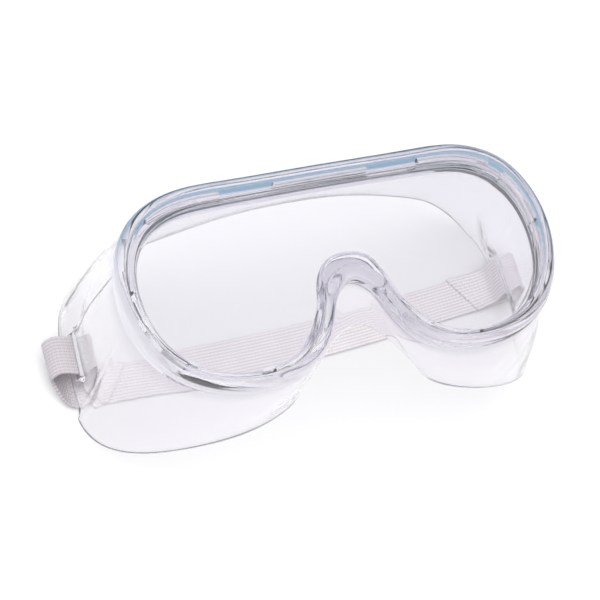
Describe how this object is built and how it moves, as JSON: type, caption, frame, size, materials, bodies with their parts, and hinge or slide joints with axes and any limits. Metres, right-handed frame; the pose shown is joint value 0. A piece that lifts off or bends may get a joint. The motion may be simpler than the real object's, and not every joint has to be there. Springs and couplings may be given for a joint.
{
  "type": "safety goggles",
  "caption": "Clear splash goggles: a soft see-through frame that seals to the face, one wide removable lens with a nose notch and an elastic head strap looped through ear slots.",
  "frame": {"origin": "Centre of the footprint, at table height. The goggles lie lens up on the rear edges of their side walls and on the strap.", "axes": "+X runs to the wearer's left, +Y towards the forehead and +Z out through the front of the lens."},
  "size_m": [0.1918, 0.092, 0.089],
  "materials": {
    "soft_pvc": "clear soft PVC, smooth and glossy, with a faint lavender tint",
    "lens": "clear polished polycarbonate",
    "webbing": "white woven elastic with lengthwise ribs",
    "thread": "white sewing thread"
  },
  "bodies": {
    "strap": {"strap_band": "webbing", "strap_side_left": "webbing", "strap_side_right": "webbing"},
    "frame": {"rim_brow": "soft_pvc", "rim_nose": "soft_pvc", "rim_side_left": "soft_pvc", "rim_side_right": "soft_pvc", "nose_saddle": "soft_pvc", "cheek_wall_left": "soft_pvc", "cheek_wall_right": "soft_pvc", "side_wall_left": "soft_pvc", "side_wall_right": "soft_pvc", "brow_wall": "soft_pvc", "strap_loop_left": "webbing", "strap_loop_right": "webbing", "strap_tail_left": "webbing", "strap_tail_right": "webbing", "bar_tack_left": "thread", "bar_tack_right": "thread"},
    "lens": {"lens": "lens", "lens_flange_left": "lens", "lens_flange_right": "lens"}
  },
  "joints": [
    {"name": "strap_stretch", "type": "slide", "parent": "strap", "child": "frame", "axis": [0, 0, 1], "range_m": [0, 0.045], "stiffness_N_per_m": 60, "deforming": ["strap_side_left", "strap_side_right"]},
    {"name": "lens_release", "type": "slide", "parent": "frame", "child": "lens", "axis": [0, 0, 1], "range_m": [0, 0.03]}
  ]
}
